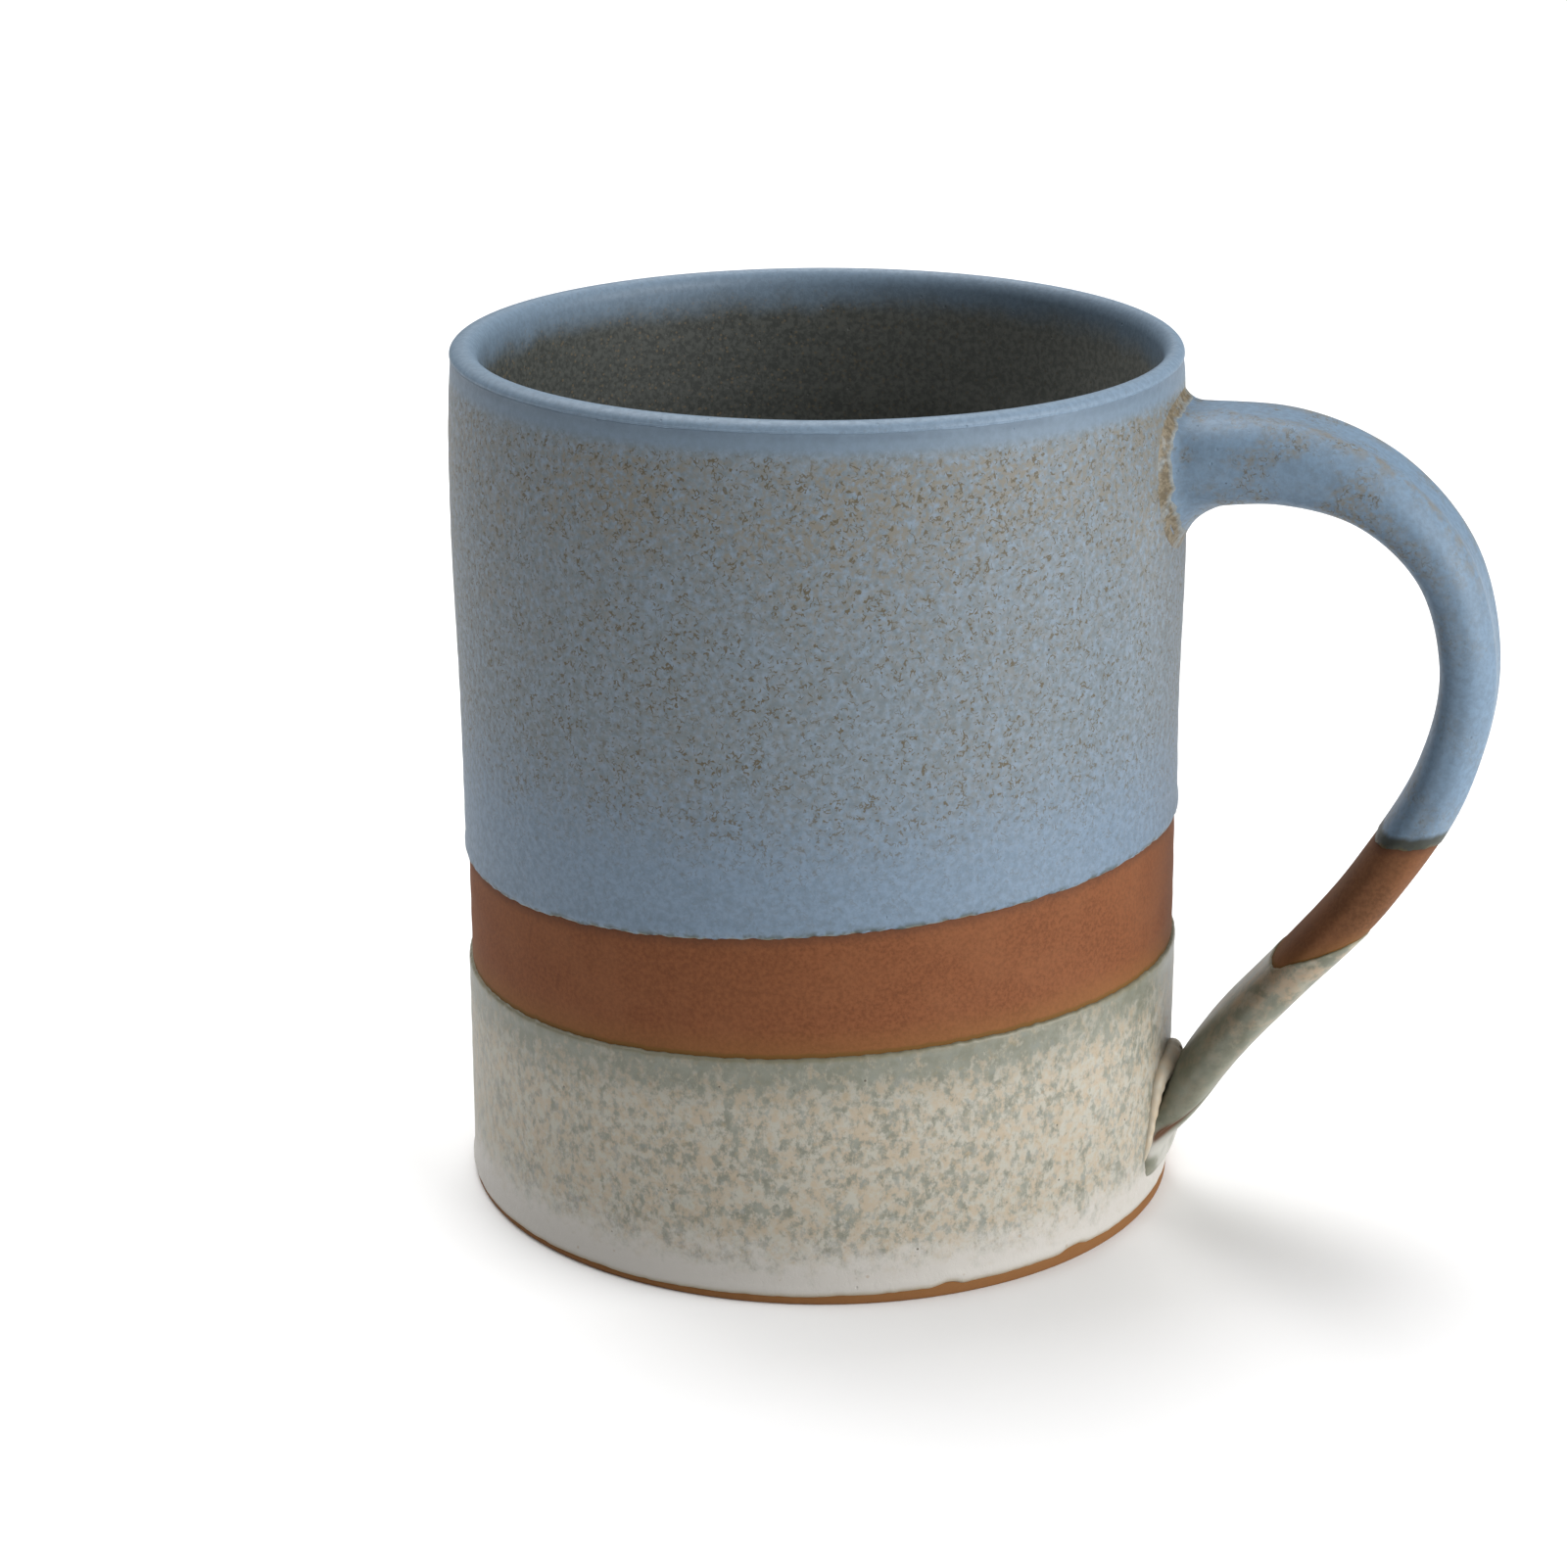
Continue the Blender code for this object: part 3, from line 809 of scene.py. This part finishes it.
# %% Blue glaze
def blue_glaze(name, on_strap):
    f = Finish(name, 0.5, 0.30)
    height = f.height
    blobs = f.band(f.noise(0.38, 3, 0.6, 0.1), 0.30, 0.70)
    upper = f.band(height, 48.0, 64.0)
    if on_strap:
        grey, light = (0.118, 0.172, 0.234), (0.140, 0.212, 0.294)
    else:
        grey = f.mix(upper, (0.118, 0.165, 0.218), (0.112, 0.138, 0.154))
        light = f.mix(upper, (0.148, 0.208, 0.280), (0.158, 0.206, 0.256))
    colour = f.mix(blobs, grey, light)
    drift = f.band(f.noise(7.0, 3, 0.55), 0.30, 0.68, 0.55, 1.30)
    if on_strap:
        patch = f.band(f.noise(3.2, 3, 0.6, shift=0.4), 0.46, 0.60)
        warmth = f.times(f.plus(0.05, f.times(0.45, patch)), f.band(f.x, 74.0, 60.0, 0.25, 1.0))
        worming = f.math("MULTIPLY", warmth, 1.9, clamp=True)
    else:
        tan_band = f.times(f.band(height, 79.0, 88.0), f.band(height, 95.5, 92.0))
        root = f.times(f.band(f.x, 31.0, 40.0), f.band(height, 77.0, 83.0))
        warmth = f.plus(0.05, f.times(0.20, f.band(height, 46, 62)), f.times(0.14, f.band(height, 62, 84)),
                        f.times(0.24, tan_band), f.times(0.30, root))
        clear = f.band(height, 96.0, 93.6)
        warmth = f.times(warmth, clear)
        worming = f.times(f.plus(0.18, f.times(0.95, f.band(height, 44, 62)), f.times(0.25, tan_band)), clear)
    warmth = f.times(warmth, drift)
    curds = f.band(f.noise(0.34, 4, 0.66, 0.1, shift=3.1), 0.36, 0.68)
    colour = f.mix(f.math("MULTIPLY", f.times(warmth, 1.7), curds, clamp=True), colour, (0.150, 0.142, 0.120))
    worm_noise = f.noise(0.34, 1.0, 0.5, 0.5, shift=7.7)
    line_shape = f.band(f.math("ABSOLUTE", f.math("SUBTRACT", worm_noise, 0.5)), 0.060, 0.018)
    broken = f.band(f.noise(0.36, 1, 0.5, shift=1.9), 0.49, 0.56)
    dots = f.specks(0.65, 0.20, 0.30, 2.0)
    marks = f.math("MAXIMUM", f.times(line_shape, broken), f.times(dots, 0.8))
    crowding = f.band(f.noise(2.2, 2, 0.5, shift=4.9), 0.34, 0.60, 0.45, 1.0)
    density = f.math("MULTIPLY", worming, crowding, clamp=True)
    colour = f.mix(f.times(marks, density), colour, (0.085, 0.072, 0.046))
    colour = f.mix(f.times(f.specks(3.0, 0.060, 0.35, 4.0), 0.8), colour, (0.022, 0.020, 0.018))
    edge = f.stored("high_edge" if on_strap else "low_edge")
    patches = f.band(f.noise(0.7, 2, 0.6, shift=5.5), 0.40, 0.60)
    if on_strap:
        worn = f.times(f.stored("ridges"), f.band(f.noise(0.9, 4, 0.66, shift=6.2), 0.38, 0.62))
        colour = f.mix(f.times(worn, 0.65), colour, (0.160, 0.138, 0.100))
        colour = f.mix(f.times(f.band(edge, 2.0, 1.1), 0.94), colour, (0.032, 0.033, 0.022))
    near = f.times(f.band(edge, 0.9, 0.15), patches)
    colour = f.mix(f.times(near, 0.80), colour, (0.050, 0.055, 0.036))
    # On the wall this is a painted highlight: a pale line along the blue coat's rounded lower edge. On the
    # strap the same mask gives golden brown where the glaze broke thin at its edge.
    edge_break_and_highlight = f.times(f.band(edge, 0.40, 0.05), f.band(f.noise(0.6, 1, 0.5, shift=9.1), 0.40, 0.55))
    colour = f.mix(f.times(edge_break_and_highlight, 0.55), colour, (0.120, 0.080, 0.026) if on_strap else (0.235, 0.250, 0.200))
    if not on_strap:
        colour = f.mix(f.times(f.band(height, 94.4, 95.8), 0.75), colour, (0.120, 0.169, 0.224))
        # Painted shade: a dark, broken line just under the edge of the liner's coat, where that edge shades
        # the blue.
        line = f.times(f.band(height, 95.9, 96.8), f.band(height, 97.6, 97.0))
        broken_lip_shade = f.band(f.noise(2.6, 3, 0.6, shift=2.6), 0.30, 0.62, 0.25, 1.0)
        colour = f.mix(f.times(line, broken_lip_shade, 0.42), colour, (0.070, 0.098, 0.135))
    curdle = f.bump(blobs, 0.006)
    pits = f.bump(f.math("SUBTRACT", 1.0, f.specks(1.9, 0.10, 0.4, 6.0)), 0.05, curdle)
    peel = f.bump(f.noise(0.25, 2, 0.5), 0.010, pits)
    gloss = f.math("ADD", f.times(blobs, -0.08), 0.58)
    return f.done(colour, gloss, peel)


for piece, on_strap in ((blue_wall, False), (blue_strap, True)):
    piece.data.materials.append(blue_glaze(f"blue matt glaze, {'handle' if on_strap else 'wall'}", on_strap))

# %% [markdown]
# ### Liner glaze
#
# The same blue on the lip, and a darker olive grey in the bowl, full of fine brown and pale specks.
# Both are made paler towards the handle, where the lights set below leave the bowl too dark.

# %% Liner
f = Finish("liner glaze", 0.5, 0.30)
depth = f.stored("depth")
blobs = f.band(f.noise(0.32, 3, 0.6, 0.3), 0.36, 0.64)
blue = f.mix(blobs, (0.132, 0.186, 0.245), (0.152, 0.214, 0.282))
olive = f.mix(blobs, (0.042, 0.046, 0.042), (0.079, 0.084, 0.076))
tan_specks = f.math("MAXIMUM", f.specks(0.7, 0.30, 0.5, 2.4), f.times(f.specks(0.5, 0.3, 0.4, 5.1), 0.7))
olive = f.mix(f.times(tan_specks, 0.55), olive, (0.160, 0.130, 0.085))
# Painted light: the bowl's blue and olive are made paler towards the handle, where the lamps leave the bowl
# too dark.
painted_light_to_handle = f.band(f.x, -24.0, 32.0)
olive = f.mix(painted_light_to_handle, olive, f.mix(blobs, (0.136, 0.143, 0.131), (0.206, 0.210, 0.190)))
blue = f.mix(painted_light_to_handle, blue, f.mix(blobs, (0.134, 0.188, 0.248), (0.158, 0.220, 0.290)))
wavy = f.times(f.math("SUBTRACT", f.noise(3.0, 4, 0.6), 0.5), 4.0)
colour = f.mix(f.band(f.plus(depth, wavy), 1.2, 5.6), blue, olive)
colour = f.mix(f.times(tan_specks, f.band(depth, 1.0, 5.0, 0.1, 0.35)), colour, (0.120, 0.092, 0.055))
curdle = f.bump(blobs, 0.008)
pits = f.bump(f.math("SUBTRACT", 1.0, f.specks(1.7, 0.12, 0.4, 6.0)), 0.05, curdle)
liner.data.materials.append(f.done(colour, f.math("ADD", f.times(blobs, -0.08), 0.56), pits))

# %% [markdown]
# ### Bare stoneware
#
# The clay fired to a warm brown, turning gold in a fine line over the cream one, where fluxes crept
# out of the glaze. Just under the blue coat it is darkened by painted shade. It has a dry, finely gritty
# face.

# %% Bare clay
def bare_clay(name, dark, light):
    f = Finish(name, 0.82, 0.22)
    to_blue, to_cream = f.stored("to_blue"), f.stored("to_cream")
    grain = f.noise(0.22, 3, 0.65)
    cloud = f.noise(3.5, 3, 0.55)
    colour = f.mix(f.band(grain, 0.30, 0.70), dark, light)
    colour = f.mix(f.times(f.band(cloud, 0.35, 0.68), 0.30), colour, (0.205, 0.082, 0.034))
    colour = f.mix(f.times(f.specks(0.6, 0.24, 0.30, 1.0), 0.35), colour, (0.090, 0.036, 0.018))
    # Painted shade: the clay is darkened within a millimetre and a half under the blue coat's edge.
    colour = f.mix(f.times(f.band(to_blue, 1.5, 0.0), 0.60), colour, (0.075, 0.030, 0.016))
    colour = f.mix(f.times(f.band(to_cream, 4.0, 0.4), 0.40), colour, (0.195, 0.088, 0.026))
    gold = f.times(f.band(to_cream, 0.65, 0.30), f.band(to_cream, -0.4, 0.0))
    colour = f.mix(f.times(gold, 0.85), colour, (0.120, 0.060, 0.012))
    colour = f.mix(f.times(f.band(f.height, 2.6, 1.4), 0.7), colour, (0.200, 0.092, 0.030))
    return f.done(colour, f.math("ADD", f.times(grain, 0.14), 0.74), f.bump(grain, 0.018))


wall_clay = bare_clay("bare stoneware, wall", (0.122, 0.041, 0.0142), (0.182, 0.063, 0.0240))
strap_clay = bare_clay("bare stoneware, handle", (0.102, 0.043, 0.0175), (0.152, 0.066, 0.0290))
clay_body.data.materials.append(wall_clay)
handle.data.materials.append(strap_clay)

# %% [markdown]
# ### Cream glaze
#
# Two things floated apart as this glaze melted: a grey-green celadon, which shows at the top where
# the coat is thin, and a cream that gathers below it in upright feathery patches. The lowest
# millimetres are thick and plain off-white. Blue-grey blotches and a few iron specks lie between.


# %% Cream glaze
def cream_glaze(name, on_strap):
    f = Finish(name, 0.45, 0.40)
    height = f.height
    if on_strap:
        below = f.stored("low_edge")
        base = f.mix(f.band(f.noise(2.0, 4, 0.6), 0.35, 0.65), (0.130, 0.134, 0.096), (0.185, 0.191, 0.148))
        cream = f.mix(f.band(f.noise(1.2, 3, 0.6), 0.38, 0.64), (0.330, 0.252, 0.172), (0.285, 0.275, 0.218))
        gathered = f.band(f.noise(0.9, 4, 0.66, 0.0), 0.40, 0.64)
        gathered = f.times(gathered, f.band(height, 14, 32, 0.25, 1.0))
        white = f.times(f.band(height, 11.5, 7.5), f.band(f.noise(2.0, 2, 0.5, shift=1.2), 0.35, 0.60))
        colour = f.mix(gathered, base, cream)
        colour = f.mix(f.times(white, 0.8), colour, (0.440, 0.430, 0.395))
    else:
        below = f.stored("high_edge")
        base = f.mix(f.band(f.noise(0.8, 4, 0.62), 0.35, 0.65), (0.168, 0.170, 0.132), (0.222, 0.228, 0.190))
        fine = f.noise(0.50, 5, 0.70, 0.0, stretch=(1, 1, 0.8))
        clumps = f.times(f.math("SUBTRACT", f.noise(1.9, 3, 0.55, shift=7.0), 0.5), 0.36)
        amount = f.band(below, 0.2, 6.0, -0.100, 0.045)
        gathered = f.band(f.plus(fine, amount, clumps), 0.40, 0.60)
        warm = f.band(f.noise(0.6, 4, 0.62, shift=2.2), 0.38, 0.62)
        cream = f.mix(warm, (0.368, 0.352, 0.300), (0.372, 0.308, 0.226))
        colour = f.mix(f.times(gathered, 0.92), base, cream)
        blotch = f.band(f.noise(0.62, 4, 0.62, 0.0, stretch=(1, 1, 0.85), shift=4.4), 0.57, 0.66)
        colour = f.mix(f.times(blotch, 0.55), colour, (0.195, 0.212, 0.195))
        ochre = f.band(f.noise(0.45, 3, 0.62, shift=8.3), 0.57, 0.70)
        colour = f.mix(f.times(ochre, 0.40), colour, (0.290, 0.222, 0.125))
        colour = f.mix(f.times(f.band(below, 8.0, 1.0), 0.40), colour, (0.120, 0.124, 0.090))
        uneven = f.times(f.math("SUBTRACT", f.noise(0.9, 5, 0.70), 0.5), 11.0)
        plain = f.band(f.plus(height, uneven), 9.0, 2.8)
        colour = f.mix(plain, colour, (0.440, 0.420, 0.388))
    colour = f.mix(f.times(f.specks(2.4, 0.11, 0.45, 5.0), 0.40), colour, (0.27, 0.18, 0.10))
    colour = f.mix(f.times(f.specks(3.1, 0.055, 0.40, 7.0), 0.85), colour, (0.06, 0.045, 0.03))
    top_edge = f.band(below, 0.70, 0.1)
    colour = f.mix(f.times(top_edge, 0.60), colour, (0.17, 0.150, 0.090))
    if on_strap:
        colour = f.mix(f.band(f.stored("fold"), 0.1, 0.7), colour, (0.085, 0.036, 0.014))
    else:
        low = f.stored("low_edge")
        colour = f.mix(f.times(f.band(low, 0.8, 0.15), 0.65), colour, (0.27, 0.22, 0.13))
    soft = f.bump(gathered, 0.014)
    waves = f.bump(f.noise(2.2, 2, 0.5), 0.05, soft)
    pits = f.bump(f.math("SUBTRACT", 1.0, f.specks(2.1, 0.09, 0.4, 6.0)), 0.05, waves)
    return f.done(colour, f.math("ADD", f.times(gathered, 0.10), 0.38), pits)


for piece, on_strap in ((cream_wall, False), (cream_strap, True)):
    piece.data.materials.append(cream_glaze(f"cream glaze, {'handle' if on_strap else 'wall'}", on_strap))

# %% [markdown]
# ### Slip at the joins
#
# Both joins were glazed over, so they take the colour of the coat they lie under. The scored slip
# made the blue one break brown and gritty. The lower one is a smooth pale cream.

# %% Joins
f = Finish("slip under blue", 0.6, 0.3)
curds = f.band(f.noise(0.30, 3, 0.65), 0.38, 0.62)
grey = f.mix(curds, (0.140, 0.152, 0.150), (0.205, 0.222, 0.220))
brown = f.mix(curds, (0.095, 0.070, 0.036), (0.180, 0.145, 0.092))
patch = f.band(f.noise(1.5, 4, 0.66), 0.36, 0.50)
colour = f.mix(f.times(f.band(f.stored("high_edge"), 0.1, 0.45), patch, 0.9), grey, brown)
upper_join.data.materials.append(f.done(colour, None, f.bump(f.noise(0.45, 3, 0.6), 0.12)))

f = Finish("slip under cream", 0.45, 0.40)
warm = f.band(f.noise(1.0, 3, 0.6), 0.38, 0.62)
colour = f.mix(warm, (0.390, 0.350, 0.275), (0.430, 0.350, 0.250))
colour = f.mix(f.times(f.specks(2.2, 0.16, 0.4, 1.0), 0.9), colour, (0.06, 0.045, 0.03))
lower_join.data.materials.append(f.done(colour, None, f.bump(f.noise(0.7, 2, 0.5), 0.03)))

# %% [markdown]
# ## Floor, light and camera
#
# A plain pale floor and soft studio light: a broad key on the handle's side, a large softbox
# overhead that keeps the floor bright, and a dim fill from the other side. The camera stands about
# 40 cm away and 18 cm up, looking down by 19 degrees, with the handle to the right.

# %% Floor
bpy.ops.mesh.primitive_circle_add(vertices=96, radius=5.0, fill_type="NGON")
floor = bpy.context.object
floor.name = "floor"
f = Finish("pale floor", 0.9, 0.1)
floor.data.materials.append(f.done((0.92, 0.92, 0.92, 1.0)))


# %% Lights
def softbox(name, watts, size, distance, azimuth, elevation):
    """A square area light aimed at the mug's middle from an azimuth and elevation in degrees."""
    light = bpy.data.lights.new(name, "AREA")
    light.shape = "SQUARE"
    light.size = size
    light.energy = watts
    lamp = bpy.data.objects.new(name, light)
    bpy.context.scene.collection.objects.link(lamp)
    a, e = math.radians(azimuth), math.radians(elevation)
    way = Vector((math.cos(a) * math.cos(e), math.sin(a) * math.cos(e), math.sin(e)))
    lamp.location = Vector((0, 0, 0.05)) + way * distance
    lamp.rotation_euler = way.to_track_quat("Z", "Y").to_euler()


softbox("key", watts=20.0, size=1.0, distance=1.1, azimuth=-14, elevation=16)
softbox("overhead", watts=46.0, size=1.6, distance=2.0, azimuth=124, elevation=64)
softbox("fill", watts=5.2, size=1.0, distance=1.6, azimuth=198, elevation=50)
world = bpy.data.worlds.new("studio")
bpy.context.scene.world = world
world.use_nodes = True
world.node_tree.nodes["Background"].inputs["Color"].default_value = (1, 1, 1, 1)
world.node_tree.nodes["Background"].inputs["Strength"].default_value = 0.12
bpy.context.scene.view_settings.view_transform = "Standard"

# %% Camera
ROUND_TO_HANDLE = math.radians(15)
BACK, UP = 395.4 * MM, 183.5 * MM                  # from the axis, and above the table
PAN, TILT, ROLL = 0.0106, -0.3348, -0.0052         # radians; tilt is from level
lens = bpy.data.cameras.new("camera")
lens.lens = 83.25
lens.sensor_width = 36.0
lens.clip_start = 0.01
camera = bpy.data.objects.new("camera", lens)
bpy.context.scene.collection.objects.link(camera)
place = Matrix.Rotation(ROUND_TO_HANDLE, 4, "Z") @ Matrix.Translation((0, -BACK, UP))
aim = (
    Matrix.Rotation(PAN, 4, "Z")
    @ Matrix.Rotation(math.pi / 2 + TILT, 4, "X")
    @ Matrix.Rotation(ROLL, 4, "Z")
)
camera.matrix_world = place @ aim
bpy.context.scene.camera = camera
